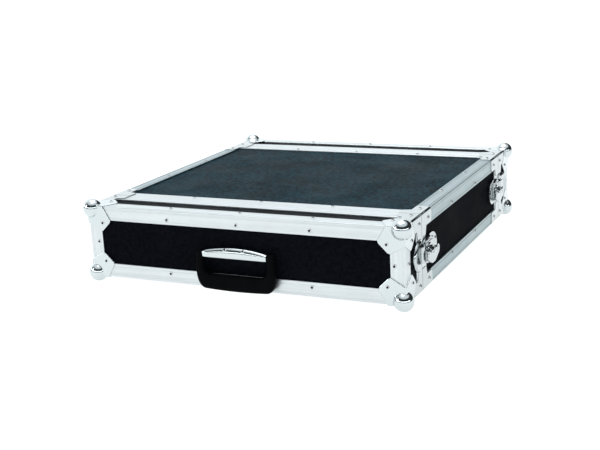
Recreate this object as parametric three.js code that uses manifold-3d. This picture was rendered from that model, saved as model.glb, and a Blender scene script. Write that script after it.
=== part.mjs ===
// Two-unit 19-inch rack case for effects gear, with a lift-off cover at the front and at the rear.
// Lengths are in millimetres. X runs to the right, Y from the front cover to the rear cover, Z up.
// The case is designed about the middle of its depth, with Z = 0 on the underside of the aluminium,
// and is then moved so that the origin lies at the bottom middle of the whole object's box.

import * as THREE from 'three';
import { mergeVertices } from 'three/addons/utils/BufferGeometryUtils.js';
import Module from 'manifold-3d';

// Case
const CASE_WIDTH = 520; // over the aluminium edges
const CASE_DEPTH = 557;
const CASE_HEIGHT = 113.5;
const COVER_DEPTH = 69.3; // from a cover's face to its seam with the body
const GAP = 0.3; // between touching pieces
const HALF_WIDTH = CASE_WIDTH / 2;
const MID_HEIGHT = CASE_HEIGHT / 2;
const FACE = -CASE_DEPTH / 2; // outer face of the front aluminium
const SEAM = FACE + COVER_DEPTH;

// Boards and aluminium
const BOARD = 9; // laminated plywood
const ANGLE_LEG = 22; // edge angles, outside
const ANGLE_WALL = 2;
const ANGLE_ROUND = 1.5;
const SKIN = ANGLE_WALL + GAP; // from the aluminium's outer face to the board's
const LINING = SKIN + BOARD; // from the aluminium's outer face to the board's inner face
const FLANGE = 20.8; // closing frames' outer flange, along Y
const SEAM_HALF_GAP = 0.15;
const COVER_WEB = 3.2; // thickness of the closing frames' webs
const BODY_WEB = 4.6;
const TONGUE = { outer: 5, inner: 8, reach: 2.4 };
const GROOVE_PLAY = 0.4;
const FOAM = { thickness: 10, inset: 2.5 };

// Ball corners
const BALL_RADIUS = 15;
const BALL_INSET = 5; // centre of the ball in from each face
const BALL_PROUD = BALL_RADIUS - BALL_INSET;
const BALL_PLATE = 1.2;
const BALL_WING = { edge: 27, tip: 40, shoulder: 22 }; // outline of each riveted plate

// 19-inch rack rails
const UNIT = 44.45;
const UNITS = 2;
const HOLE_ROWS = [6.35, 22.225, 38.1]; // hole centres within one unit
const HOLE_PITCH = 465; // across the rack
const RAIL_SPAN = 450; // clear width between the rails
const SQUARE_HOLE = 9.5;
const RAIL = { wall: 2, depth: 25, setback: 22 };

// Surface latches: heights are over the aluminium, lengths are from the seam into the body
const LATCH = { spindle: 24, travel: 8, baseTop: 1.8, clawTop: 4.1, drumTop: 6, pinHeight: 9.4 };
const BASE_PLATE = { length: 66, neck: 16, halfWidth: 26, shoulder: 22 };
const CATCH_PLATE = { length: 40, halfWidth: 22, straight: 16, lipFrom: 9, lipTo: 11.5, lipTop: 3.6 };
const CLAW = { halfWidth: 12, nose: 14.5, shoulder: 6, rear: 41, noseTop: 6.1 };
const SPINDLE = { shaft: 6, drum: 10, pin: 1.6, pinHalf: 12 };
const LUG = { halfLength: 4, halfHeight: 3, top: 12.3 };
const WING = { thickness: 2.4, lobe: 7, lobeOut: 20, lobeDrop: 4.5, tipHalf: 7, tipDrop: 19 };
const KNUCKLE = { radius: 3.1, end: 11.5, relief: 4.6 };
const GUIDE = { from: 6, to: 44, width: 2.5, top: 4 };

// Carrying handle on the front cover
const PIVOT = { out: 8, height: 55 }; // in front of the aluminium's face, above its underside
const BRACKET = { halfLength: 52.4, roll: 6, channel: 3, plate: 1.8, endTop: 61, middleTop: 67 };
const GRIP = { reach: 15.5, halfWidth: 63, legInside: 53, barTop: 23, bottom: 1 };
const ROD = { radius: 2.5, eye: 5.6 };

const finishes = {
  laminate: { color: 0x0b0c10, roughness: 0.62, metalness: 0 },
  aluminium: { color: 0xd8dcdd, roughness: 0.3, metalness: 1 },
  chrome: { color: 0xe6e9ea, roughness: 0.08, metalness: 1 },
  rail: { color: 0x1a1a1c, roughness: 0.45, metalness: 0.4 },
  foam: { color: 0x17171a, roughness: 0.95, metalness: 0 },
  grip: { color: 0x08080a, roughness: 0.4, metalness: 0 },
};

const wasm = await Module();
wasm.setup();

// ---- Solids -------------------------------------------------------------------------------------

function solidFrom(geometry) {
  geometry.deleteAttribute('normal');
  geometry.deleteAttribute('uv');
  const merged = mergeVertices(geometry, 1e-4);
  const vertProperties = Float32Array.from(merged.attributes.position.array);
  const triVerts = Uint32Array.from(merged.index.array);
  return new wasm.Manifold(new wasm.Mesh({ numProp: 3, vertProperties, triVerts }));
}

function geometryFrom(solid) {
  const { vertProperties, triVerts } = solid.getMesh();
  const geometry = new THREE.BufferGeometry();
  geometry.setAttribute('position', new THREE.BufferAttribute(vertProperties, 3));
  geometry.setIndex(new THREE.BufferAttribute(triVerts, 1));
  geometry.computeVertexNormals();
  return geometry;
}

// A box between two limits on each axis.
function block(x, y, z) {
  const geometry = new THREE.BoxGeometry(x[1] - x[0], y[1] - y[0], z[1] - z[0]);
  geometry.translate((x[0] + x[1]) / 2, (y[0] + y[1]) / 2, (z[0] + z[1]) / 2);
  return solidFrom(geometry);
}

// A straight prism. Its outline is drawn in (y, z) for axis x, in (x, z) for y and in (x, y) for z.
function prism(shape, axis, from, to) {
  const geometry = new THREE.ExtrudeGeometry(shape, {
    depth: to - from,
    bevelEnabled: false,
    curveSegments: 8,
  });
  const x = new THREE.Vector3(1, 0, 0);
  const y = new THREE.Vector3(0, 1, 0);
  const z = new THREE.Vector3(0, 0, 1);
  if (axis === 'x') geometry.applyMatrix4(new THREE.Matrix4().makeBasis(y, z, x).setPosition(from, 0, 0));
  if (axis === 'y') {
    const back = y.clone().negate();
    geometry.applyMatrix4(new THREE.Matrix4().makeBasis(x, z, back).setPosition(0, to, 0));
  }
  if (axis === 'z') geometry.translate(0, 0, from);
  return solidFrom(geometry);
}

// A round bar along one axis, through a point given by its two other coordinates.
function bar(axis, radius, from, to, [u, v], sides = 24) {
  const outline = new THREE.Shape();
  outline.absarc(u, v, radius, 0, 2 * Math.PI);
  return prism(new THREE.Shape(outline.getSpacedPoints(sides)), axis, from, to);
}

function outlineOf(points) {
  return new THREE.Shape(points.map(([u, v]) => new THREE.Vector2(u, v)));
}

function arc(centre, radii, fromDegrees, toDegrees, steps) {
  return Array.from({ length: steps + 1 }, (_, i) => {
    const angle = THREE.MathUtils.degToRad(fromDegrees + ((toDegrees - fromDegrees) * i) / steps);
    return [centre[0] + radii[0] * Math.cos(angle), centre[1] + radii[1] * Math.sin(angle)];
  });
}

// A rectangular ring round the case, between two depths under the aluminium's outer faces.
function ring(outer, inner, y) {
  const wide = HALF_WIDTH - outer;
  const clear = HALF_WIDTH - inner;
  const outside = block([-wide, wide], y, [outer, CASE_HEIGHT - outer]);
  const past = [y[0] - 1, y[1] + 1];
  return outside.subtract(block([-clear, clear], past, [inner, CASE_HEIGHT - inner]));
}

// An L outline with its outer corner at a point and its legs running the way the signs say.
function angleOutline(corner, [signU, signV], legU = ANGLE_LEG, legV = ANGLE_LEG) {
  const round = arc([ANGLE_ROUND, ANGLE_ROUND], [ANGLE_ROUND, ANGLE_ROUND], 180, 270, 3);
  const legs = [[legU, 0], [legU, ANGLE_WALL], [ANGLE_WALL, ANGLE_WALL], [ANGLE_WALL, legV], [0, legV]];
  return outlineOf([...round, ...legs].map(([u, v]) => [corner[0] + signU * u, corner[1] + signV * v]));
}

function piece(name, solid, finish) {
  const mesh = new THREE.Mesh(geometryFrom(solid), new THREE.MeshStandardMaterial(finishes[finish]));
  mesh.name = name;
  return mesh;
}

// ---- Body ---------------------------------------------------------------------------------------

function bodyPanels() {
  const end = SEAM + SEAM_HALF_GAP + BODY_WEB + GAP;
  const along = [end, -end];
  const across = [-HALF_WIDTH + SKIN, HALF_WIDTH - SKIN];
  const upright = [LINING + GAP, CASE_HEIGHT - LINING - GAP];
  const left = [-HALF_WIDTH + SKIN, -HALF_WIDTH + LINING];
  const right = [HALF_WIDTH - LINING, HALF_WIDTH - SKIN];
  return [
    piece('body_top_panel', block(across, along, [CASE_HEIGHT - LINING, CASE_HEIGHT - SKIN]), 'laminate'),
    piece('body_bottom_panel', block(across, along, [SKIN, LINING]), 'laminate'),
    piece('body_left_panel', block(left, along, upright), 'laminate'),
    piece('body_right_panel', block(right, along, upright), 'laminate'),
  ];
}

function bodyEdges() {
  const end = SEAM + FLANGE + GAP;
  const edges = [];
  for (const [side, sign] of [['left', -1], ['right', 1]]) {
    const x = sign * HALF_WIDTH;
    const top = prism(angleOutline([x, CASE_HEIGHT], [-sign, -1]), 'y', end, -end);
    const bottom = prism(angleOutline([x, 0], [-sign, 1]), 'y', end, -end);
    edges.push(piece(`body_edge_top_${side}`, top, 'aluminium'));
    edges.push(piece(`body_edge_bottom_${side}`, bottom, 'aluminium'));
  }
  return edges;
}

// The body's closing frame: an outer flange, and a web over the boards' ends with a groove in it.
function bodyFrame() {
  const start = SEAM + SEAM_HALF_GAP;
  const flange = ring(0, ANGLE_WALL, [start, SEAM + FLANGE]);
  const web = ring(0, LINING, [start, start + BODY_WEB]);
  const groove = ring(
    TONGUE.outer - GROOVE_PLAY,
    TONGUE.inner + GROOVE_PLAY,
    [start - 1, SEAM + TONGUE.reach + GROOVE_PLAY],
  );
  return flange.add(web).subtract(groove);
}

// A rack rail on the side board: an L with square holes in the flange that faces the cover.
function rackRail(sign) {
  const face = SEAM + RAIL.setback;
  const bottom = LINING + GAP;
  const top = CASE_HEIGHT - LINING - GAP;
  const wallSide = HALF_WIDTH - LINING - GAP;
  const span = (from, to) => [Math.min(sign * from, sign * to), Math.max(sign * from, sign * to)];
  const flange = block(span(RAIL_SPAN / 2, wallSide), [face, face + RAIL.wall], [bottom, top]);
  const wall = block(span(wallSide - RAIL.wall, wallSide), [face, face + RAIL.depth], [bottom, top]);
  let rail = flange.add(wall);
  const first = MID_HEIGHT - (UNIT * UNITS) / 2;
  for (let unit = 0; unit < UNITS; unit += 1) {
    for (const row of HOLE_ROWS) {
      const z = first + unit * UNIT + row;
      const x = span(HOLE_PITCH / 2 - SQUARE_HOLE / 2, HOLE_PITCH / 2 + SQUARE_HOLE / 2);
      const hole = block(x, [face - 1, face + RAIL.wall + 1], [z - SQUARE_HOLE / 2, z + SQUARE_HOLE / 2]);
      rail = rail.subtract(hole);
    }
  }
  return rail;
}

// ---- Covers -------------------------------------------------------------------------------------

function coverBoard() {
  const across = [-HALF_WIDTH + SKIN, HALF_WIDTH - SKIN];
  return block(across, [FACE + SKIN, FACE + LINING], [SKIN, CASE_HEIGHT - SKIN]);
}

function coverRim() {
  return ring(SKIN, LINING, [FACE + LINING + GAP, SEAM - SEAM_HALF_GAP - COVER_WEB - GAP]);
}

// The cover's closing frame: a flange, a web with a tongue, and four corner strips to the face.
function coverFrame() {
  const end = SEAM - SEAM_HALF_GAP;
  const flangeStart = SEAM - FLANGE;
  let frame = ring(0, ANGLE_WALL, [flangeStart, end]);
  frame = frame.add(ring(0, LINING, [end - COVER_WEB, end]));
  frame = frame.add(ring(TONGUE.outer, TONGUE.inner, [end - 1, SEAM + TONGUE.reach]));
  for (const sign of [-1, 1]) {
    const x = sign * HALF_WIDTH;
    const strip = [FACE + ANGLE_LEG + GAP, flangeStart + 1];
    frame = frame.add(prism(angleOutline([x, CASE_HEIGHT], [-sign, -1]), 'y', ...strip));
    frame = frame.add(prism(angleOutline([x, 0], [-sign, 1]), 'y', ...strip));
  }
  return frame;
}

function coverEdges(cover, right, left) {
  const across = [-HALF_WIDTH, HALF_WIDTH];
  const upright = [ANGLE_LEG + GAP, CASE_HEIGHT - ANGLE_LEG - GAP];
  const top = prism(angleOutline([FACE, CASE_HEIGHT], [1, -1]), 'x', ...across);
  const bottom = prism(angleOutline([FACE, 0], [1, 1]), 'x', ...across);
  const edges = [
    piece(`${cover}_edge_top`, top, 'aluminium'),
    piece(`${cover}_edge_bottom`, bottom, 'aluminium'),
  ];
  for (const [side, sign] of [[left, -1], [right, 1]]) {
    const edge = prism(angleOutline([sign * HALF_WIDTH, FACE], [-sign, 1]), 'z', ...upright);
    edges.push(piece(`${cover}_edge_${side}`, edge, 'aluminium'));
  }
  return edges;
}

function coverFoam() {
  const inset = LINING + FOAM.inset;
  const start = FACE + LINING + GAP;
  const across = [-HALF_WIDTH + inset, HALF_WIDTH - inset];
  return block(across, [start, start + FOAM.thickness], [inset, CASE_HEIGHT - inset]);
}

// A ball corner for the corner where the case lies towards -X, -Y and -Z of the local origin.
function ballCorner() {
  const sphere = new THREE.SphereGeometry(BALL_RADIUS, 24, 14);
  sphere.rotateX(Math.PI / 2);
  sphere.translate(-BALL_INSET, -BALL_INSET, -BALL_INSET);
  const outside = GAP + BALL_PLATE;
  const plate = outlineOf([
    [outside, outside],
    [-BALL_WING.edge, outside],
    [-BALL_WING.tip, -BALL_WING.shoulder],
    [-BALL_WING.shoulder, -BALL_WING.tip],
    [outside, -BALL_WING.edge],
  ]);
  let corner = solidFrom(sphere);
  for (const axis of ['x', 'y', 'z']) corner = corner.add(prism(plate, axis, 0, outside));
  const inside = [-2 * BALL_WING.tip, GAP];
  return corner.subtract(block(inside, inside, inside));
}

// Turned so that the local corner faces the case's corner with these signs on X and Z, at the face.
function cornerPiece(name, signX, signZ) {
  const mesh = piece(name, ballCorner(), 'chrome');
  mesh.position.set(signX * HALF_WIDTH, FACE, signZ > 0 ? CASE_HEIGHT : 0);
  mesh.rotation.order = 'ZXY';
  if (signZ > 0) mesh.rotation.z = signX > 0 ? -Math.PI / 2 : Math.PI;
  if (signZ < 0) {
    mesh.rotation.x = Math.PI;
    mesh.rotation.z = signX > 0 ? 0 : -Math.PI / 2;
  }
  return mesh;
}

// ---- Latches ------------------------------------------------------------------------------------
// Each is drawn for the right-hand side of the front seam, and turned half round for the others.

const latchX = (height) => HALF_WIDTH + height;
const latchY = (fromSeam) => SEAM + fromSeam;

function latchOutline(points) {
  return outlineOf(points.map(([along, up]) => [latchY(along), MID_HEIGHT + up]));
}

function latchPlate(points, from, to) {
  return prism(latchOutline(points), 'x', latchX(from), latchX(to));
}

// A plate lies on the aluminium near the seam and steps down to the board beyond it.
function steppedPlate(points, boardSide) {
  const flat = latchPlate(points, GAP, LATCH.baseTop);
  const thick = latchPlate(points, GAP - ANGLE_WALL, LATCH.baseTop);
  const all = [latchX(-ANGLE_WALL), latchX(LATCH.baseTop + 1)];
  return flat.add(thick.intersect(block(all, boardSide, [0, CASE_HEIGHT])));
}

function latchBase() {
  const { length, neck, halfWidth, shoulder } = BASE_PLATE;
  const middle = length - halfWidth;
  const points = [[1, -neck], ...arc([middle, 0], [halfWidth, halfWidth], -90, 90, 12), [1, neck]];
  points.splice(1, 0, [shoulder, -halfWidth]);
  points.splice(points.length - 1, 0, [shoulder, halfWidth]);
  let base = steppedPlate(points, [SEAM + FLANGE + GAP, SEAM + length]);
  for (const sign of [-1, 1]) {
    const inner = sign * (CLAW.halfWidth + GAP);
    const outer = sign * (CLAW.halfWidth + GAP + GUIDE.width);
    const z = [MID_HEIGHT + Math.min(inner, outer), MID_HEIGHT + Math.max(inner, outer)];
    const x = [latchX(1), latchX(GUIDE.top)];
    base = base.add(block(x, [latchY(GUIDE.from), latchY(GUIDE.to)], z));
  }
  return base;
}

function latchCatch() {
  const { length, halfWidth, straight, lipFrom, lipTo, lipTop } = CATCH_PLATE;
  const round = arc([-straight, 0], [length - straight, halfWidth], 90, 270, 12);
  const points = [[-1, halfWidth], ...round, [-1, -halfWidth]];
  const plate = steppedPlate(points, [SEAM - length, SEAM - FLANGE - GAP]);
  const z = [MID_HEIGHT - CLAW.halfWidth, MID_HEIGHT + CLAW.halfWidth];
  return plate.add(block([latchX(1), latchX(lipTop)], [latchY(-lipTo), latchY(-lipFrom)], z));
}

// The claw slides along Y between the base's guides; its nose lies over the catch's lip.
function latchClaw() {
  const z = [MID_HEIGHT - CLAW.halfWidth, MID_HEIGHT + CLAW.halfWidth];
  const bottom = LATCH.baseTop + GAP;
  const under = CATCH_PLATE.lipTop + GAP;
  const plate = block([latchX(bottom), latchX(LATCH.clawTop)], [latchY(2), latchY(CLAW.rear)], z);
  const step = block([latchX(bottom), latchX(CLAW.noseTop)], [latchY(2), latchY(CLAW.shoulder)], z);
  const nose = block([latchX(under), latchX(CLAW.noseTop)], [latchY(-CLAW.nose), latchY(3)], z);
  const radius = SPINDLE.shaft + 2 * GAP;
  const near = arc([LATCH.spindle, 0], [radius, radius], 90, 270, 10);
  const far = arc([LATCH.spindle + LATCH.travel, 0], [radius, radius], -90, 90, 10);
  return plate.add(step).add(nose).subtract(latchPlate([...near, ...far], 0, LATCH.clawTop + 1));
}

// The spindle's shaft passes through the claw; its lug carries the pin that the wing folds on.
function latchSpindle() {
  const centre = [latchY(LATCH.spindle), MID_HEIGHT];
  const shaft = bar('x', SPINDLE.shaft, latchX(LATCH.baseTop + GAP), latchX(LATCH.clawTop + 1), centre);
  const drum = bar('x', SPINDLE.drum, latchX(LATCH.clawTop + GAP), latchX(LATCH.drumTop), centre);
  const lug = block(
    [latchX(LATCH.drumTop - 1), latchX(LUG.top)],
    [centre[0] - LUG.halfLength, centre[0] + LUG.halfLength],
    [MID_HEIGHT - LUG.halfHeight, MID_HEIGHT + LUG.halfHeight],
  );
  const ends = [centre[0] - SPINDLE.pinHalf, centre[0] + SPINDLE.pinHalf];
  const pin = bar('y', SPINDLE.pin, ...ends, [latchX(LATCH.pinHeight), MID_HEIGHT], 16);
  return shaft.add(drum).add(lug).add(pin);
}

// The wing hangs flat from a pin along Y: a round lobe at each end and a tapered grip between them.
// The sign is that of the local Z direction which points up once the latch is in its place.
function latchWing(upward) {
  const low = LATCH.pinHeight - WING.thickness / 2;
  const high = LATCH.pinHeight + WING.thickness / 2;
  const hinge = LATCH.spindle;
  const shoulder = WING.lobeOut - 2;
  const shoulderUp = -upward * (WING.lobeDrop + WING.lobe - 1);
  const tipUp = -upward * WING.tipDrop;
  let wing = latchPlate([
    [hinge - shoulder, 0],
    [hinge - shoulder, shoulderUp],
    [hinge - WING.tipHalf, tipUp],
    [hinge + WING.tipHalf, tipUp],
    [hinge + shoulder, shoulderUp],
    [hinge + shoulder, 0],
  ], low, high);
  for (const sign of [-1, 1]) {
    const centre = [hinge + sign * WING.lobeOut, -upward * WING.lobeDrop];
    wing = wing.add(latchPlate(arc(centre, [WING.lobe, WING.lobe], 0, 345, 23), low, high));
  }
  const centre = [latchX(LATCH.pinHeight), MID_HEIGHT];
  const knuckles = [latchY(hinge - KNUCKLE.end), latchY(hinge + KNUCKLE.end)];
  wing = wing.add(bar('y', KNUCKLE.radius, ...knuckles, centre));
  const lugSide = LUG.halfLength + GAP;
  const relief = block(
    [latchX(0), latchX(2 * LATCH.pinHeight)],
    [latchY(hinge - lugSide), latchY(hinge + lugSide)],
    [MID_HEIGHT - KNUCKLE.relief, MID_HEIGHT + KNUCKLE.relief],
  );
  const past = SPINDLE.pinHalf + 2 * GAP;
  const bore = bar('y', SPINDLE.pin + GAP, latchY(hinge - past), latchY(hinge + past), centre, 16);
  return wing.subtract(relief).subtract(bore);
}

// ---- Handle -------------------------------------------------------------------------------------

const pivotY = FACE - PIVOT.out;

// A rolled channel holds the grip's rod against the board; an arched plate above it is riveted on.
function handleBracket() {
  const { halfLength, roll, channel, plate, endTop, middleTop } = BRACKET;
  const back = FACE + ANGLE_WALL;
  const ends = [-halfLength, halfLength];
  const front = arc([pivotY, PIVOT.height], [roll, roll], 90, 270, 10);
  const body = outlineOf([[back, PIVOT.height + roll], ...front, [back, PIVOT.height - roll]]);
  const hollow = arc([pivotY, PIVOT.height], [channel, channel], 90, 270, 10);
  const slot = outlineOf([[back + 1, PIVOT.height + channel], ...hollow, [back + 1, PIVOT.height - channel]]);
  const arch = new THREE.Shape();
  arch.moveTo(-halfLength, PIVOT.height + roll - 1);
  arch.lineTo(halfLength, PIVOT.height + roll - 1);
  arch.lineTo(halfLength, endTop + 1);
  arch.quadraticCurveTo(0, 2 * middleTop - endTop - 1, -halfLength, endTop + 1);
  const rolled = prism(body, 'x', ...ends).subtract(prism(slot, 'x', ends[0] - 1, ends[1] + 1));
  return rolled.add(prism(arch, 'y', back - plate, back));
}

// The grip is a U seen from the front, thin at its two eyes and full at its bar.
function handleGrip() {
  const { reach, halfWidth, legInside, barTop, bottom } = GRIP;
  const top = PIVOT.height + ROD.eye;
  const loop = new THREE.Shape();
  loop.moveTo(halfWidth, top);
  loop.lineTo(halfWidth + 1, 34);
  loop.quadraticCurveTo(halfWidth + 1, bottom + 4, 46, bottom + 2.5);
  loop.quadraticCurveTo(0, bottom - 1.5, -46, bottom + 2.5);
  loop.quadraticCurveTo(-halfWidth - 1, bottom + 4, -halfWidth - 1, 34);
  loop.lineTo(-halfWidth, top);
  loop.lineTo(-legInside, top);
  loop.lineTo(-legInside, 38);
  loop.quadraticCurveTo(-legInside + 1, barTop, -42, barTop);
  loop.lineTo(42, barTop);
  loop.quadraticCurveTo(legInside - 1, barTop, legInside, 38);
  loop.lineTo(legInside, top);
  const eye = arc([pivotY, PIVOT.height], [ROD.eye, ROD.eye], 0, 180, 10);
  const barBack = FACE - 2.5;
  const barFront = FACE - reach;
  const side = new THREE.Shape();
  side.moveTo(...eye[0]);
  for (const point of eye.slice(1)) side.lineTo(...point);
  side.quadraticCurveTo(barFront, 40, barFront, 20);
  side.quadraticCurveTo(barFront, bottom, FACE - 9.5, bottom);
  side.quadraticCurveTo(barBack, bottom, barBack, 9);
  side.quadraticCurveTo(barBack, 32, eye[0][0], PIVOT.height);
  const depth = [FACE - reach - 1, FACE + ANGLE_WALL];
  const width = [-halfWidth - 5, halfWidth + 5];
  const grip = prism(loop, 'y', ...depth).intersect(prism(side, 'x', ...width));
  const ends = [-legInside - 3, legInside + 3];
  return grip.add(bar('x', ROD.radius, ...ends, [pivotY, PIVOT.height], 16));
}

// ---- Assembly -----------------------------------------------------------------------------------

// One end of the case: its cover, frame, rails and two latches. The rear end is turned half round
// about Z, so that its local right-hand side is the case's left.
function caseEnd(end, right, left) {
  const group = new THREE.Group();
  const cover = `${end}_cover`;
  group.add(piece(`${end}_body_frame`, bodyFrame(), 'aluminium'));
  group.add(piece(`${cover}_board`, coverBoard(), 'laminate'));
  group.add(piece(`${cover}_rim`, coverRim(), 'laminate'));
  group.add(piece(`${cover}_frame`, coverFrame(), 'aluminium'));
  group.add(piece(`${cover}_foam`, coverFoam(), 'foam'));
  group.add(...coverEdges(cover, right, left));
  for (const [side, sign] of [[right, 1], [left, -1]]) {
    group.add(piece(`${end}_${side}_rack_rail`, rackRail(sign), 'rail'));
    group.add(cornerPiece(`${cover}_corner_top_${side}`, sign, 1));
    group.add(cornerPiece(`${cover}_corner_bottom_${side}`, sign, -1));
    const latch = latchGroup(`${end}_${side}`, sign);
    if (sign < 0) {
      latch.rotation.y = Math.PI;
      latch.position.z = CASE_HEIGHT;
    }
    group.add(latch);
  }
  return group;
}

function latchGroup(where, upward) {
  const group = new THREE.Group();
  group.add(piece(`${where}_latch_base`, latchBase(), 'chrome'));
  group.add(piece(`${where}_latch_catch`, latchCatch(), 'chrome'));
  group.add(piece(`${where}_latch_claw`, latchClaw(), 'chrome'));
  group.add(piece(`${where}_latch_spindle`, latchSpindle(), 'chrome'));
  group.add(piece(`${where}_latch_wing`, latchWing(upward), 'chrome'));
  return group;
}

const design = new THREE.Group();
design.add(...bodyPanels(), ...bodyEdges());
design.add(caseEnd('front', 'right', 'left'));
const rear = caseEnd('rear', 'left', 'right');
rear.rotation.z = Math.PI;
design.add(rear);
design.add(piece('handle_bracket', handleBracket(), 'chrome'));
design.add(piece('handle_grip', handleGrip(), 'grip'));

// The box runs from the grip's front to the rear balls, and from the bottom balls up.
const middle = (GRIP.reach - BALL_PROUD) / 2;
design.position.set(0, middle, BALL_PROUD);

const object = new THREE.Group();
object.add(design);

export default object;
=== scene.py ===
"""Two-unit rack case with lift-off covers: finishes and fine pieces round the fixed frame."""

import math

import bmesh
import bpy
from mathutils import Matrix, Vector


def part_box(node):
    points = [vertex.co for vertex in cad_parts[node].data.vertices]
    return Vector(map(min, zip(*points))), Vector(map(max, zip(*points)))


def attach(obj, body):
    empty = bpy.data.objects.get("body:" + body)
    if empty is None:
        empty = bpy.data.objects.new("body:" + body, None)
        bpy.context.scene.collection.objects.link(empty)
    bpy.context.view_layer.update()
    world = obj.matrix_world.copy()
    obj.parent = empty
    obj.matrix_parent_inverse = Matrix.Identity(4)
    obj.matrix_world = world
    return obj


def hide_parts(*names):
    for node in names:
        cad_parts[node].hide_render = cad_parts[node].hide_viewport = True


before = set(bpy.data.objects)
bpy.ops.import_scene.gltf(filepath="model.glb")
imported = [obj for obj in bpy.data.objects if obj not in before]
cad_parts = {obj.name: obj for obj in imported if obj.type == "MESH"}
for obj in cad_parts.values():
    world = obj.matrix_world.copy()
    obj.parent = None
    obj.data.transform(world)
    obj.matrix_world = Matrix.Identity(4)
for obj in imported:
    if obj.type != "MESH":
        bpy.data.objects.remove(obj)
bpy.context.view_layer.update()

bl_info = {
    "name": "Rack effects case",
    "version": (1, 0, 0),
    "blender": (4, 5, 0),
    "location": "View3D > Sidebar > Rack Case",
    "description": "Builds the finishes, fittings and studio of a two-unit rack effects case",
    "category": "Object",
}

MM = 0.001
ENDS = ("front", "rear")
SIDES = ("left", "right")
HEIGHTS = ("top", "bottom")
SIGNS = {"front": 1, "rear": -1, "left": -1, "right": 1, "top": 1, "bottom": -1}

# The case's outer faces, over the aluminium, and the front seam.
HALF_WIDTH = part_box("front_body_frame")[1].x
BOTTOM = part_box("front_body_frame")[0].z
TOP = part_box("front_body_frame")[1].z
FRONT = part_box("front_cover_edge_top")[0].y
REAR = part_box("rear_cover_edge_top")[1].y
SEAM_GAP = 0.15 * MM  # from the seam's middle to each closing frame
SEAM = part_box("front_body_frame")[0].y - SEAM_GAP
MID_Y = (FRONT + REAR) / 2
MID_Z = (TOP + BOTTOM) / 2
HALF_HEIGHT = (TOP - BOTTOM) / 2
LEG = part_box("body_edge_top_right")[1].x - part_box("body_edge_top_right")[0].x  # an edge angle's leg
WALL = 2 * MM  # the aluminium's thickness
BOARD_IN = HALF_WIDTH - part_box("body_right_panel")[1].x  # the boards lie this far under the aluminium
LINING = HALF_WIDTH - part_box("body_right_panel")[0].x  # and their inner faces this far
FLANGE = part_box("front_body_frame")[1].y - SEAM
CORNER_ROUND = 1.2 * MM  # outer radius of the edge angles
COVER_WEB = 3.2 * MM  # thickness of the closing frames' inner parts
BODY_WEB = 4.6 * MM

# The cover's tongue goes into the body's groove. Their sides lie this far under the outer face.
GROOVE_SIDES = (4.6 * MM, 8.4 * MM)
GROOVE_DEPTH = 2.8 * MM
TONGUE_SIDES = (5 * MM, 8 * MM)
TONGUE_LENGTH = 2.4 * MM
TONGUE_TAPER = 0.3 * MM

# Latch heights over the aluminium and lengths from the seam into the body, on the right of the front.
SPINDLE_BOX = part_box("front_right_latch_spindle")
SPINDLE_AT = (SPINDLE_BOX[0].y + SPINDLE_BOX[1].y) / 2 - SEAM
PIN_HEIGHT = 9.4 * MM
DRUM_TOP = 6 * MM
CLAW_TOP = 4.1 * MM
BASE_TOP = 1.8 * MM

# The handle's pivot and its grip.
GRIP_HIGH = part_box("handle_grip")[1]
BRACKET_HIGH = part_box("handle_bracket")[1]
EYE = 5.6 * MM  # radius of the grip's eyes
ROLL = 6 * MM  # and of the bracket's channel, outside
PIVOT = Vector((0, FRONT - 8 * MM, GRIP_HIGH.z - EYE))


# ---- Settings --------------------------------------------


class CaseSizes(bpy.types.PropertyGroup):
    """Sizes of the small fittings that are laid over the frame."""

    rivet_diameter: bpy.props.FloatProperty(
        name="Rivet head", description="Across a blind rivet's domed head",
        default=6.2 * MM, unit="LENGTH",
    )
    rivet_height: bpy.props.FloatProperty(
        name="Rivet height", description="Height of a blind rivet's head",
        default=1.2 * MM, unit="LENGTH",
    )
    groove_depth: bpy.props.FloatProperty(
        name="Groove depth", description="Depth of the aluminium's lengthwise grooves",
        default=0.3 * MM, unit="LENGTH",
    )
    brace_thickness: bpy.props.FloatProperty(
        name="Brace thickness", description="Sheet thickness of the seam braces",
        default=1.0 * MM, unit="LENGTH",
    )
    ball_radius: bpy.props.FloatProperty(
        name="Ball radius", description="Radius of the ball corners' bulbs",
        default=15 * MM, unit="LENGTH",
    )
    voxel: bpy.props.FloatProperty(
        name="Voxel", description="Grain of the remeshed pressings",
        default=0.75 * MM, unit="LENGTH",
    )


class CaseColours(bpy.types.PropertyGroup):
    """Base colours of the case's finishes."""

    laminate: bpy.props.FloatVectorProperty(
        name="Laminate", description="Board facing",
        default=(0.0035, 0.004, 0.0058), subtype="COLOR",
    )
    # Painted sheen: the top board's facing is lighter and bluer than the other boards', for the bright
    # room that its top mirrors at a grazing view.
    lid: bpy.props.FloatVectorProperty(
        name="Lid", description="Top board's facing, lightened by painted sheen",
        default=(0.0045, 0.0198, 0.0288), subtype="COLOR",
    )
    aluminium: bpy.props.FloatVectorProperty(
        name="Aluminium", description="Edge and closing extrusions",
        default=(0.66, 0.7, 0.715), subtype="COLOR",
    )
    plate: bpy.props.FloatVectorProperty(
        name="Bright plate", description="Plated steel of corners and latches",
        default=(0.6, 0.65, 0.665), subtype="COLOR",
    )
    powder: bpy.props.FloatVectorProperty(
        name="Powder coat", description="Rack rails", default=(0.02, 0.02, 0.022), subtype="COLOR"
    )
    foam: bpy.props.FloatVectorProperty(
        name="Foam", description="Cover pads", default=(0.018, 0.018, 0.02), subtype="COLOR"
    )
    grip: bpy.props.FloatVectorProperty(
        name="Grip", description="Moulded handle grip",
        default=(0.0025, 0.0026, 0.003), subtype="COLOR",
    )


def sizes():
    return bpy.context.scene.case_sizes


def colours():
    return bpy.context.scene.case_colours


# ---- Materials -------------------------------------------


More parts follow.
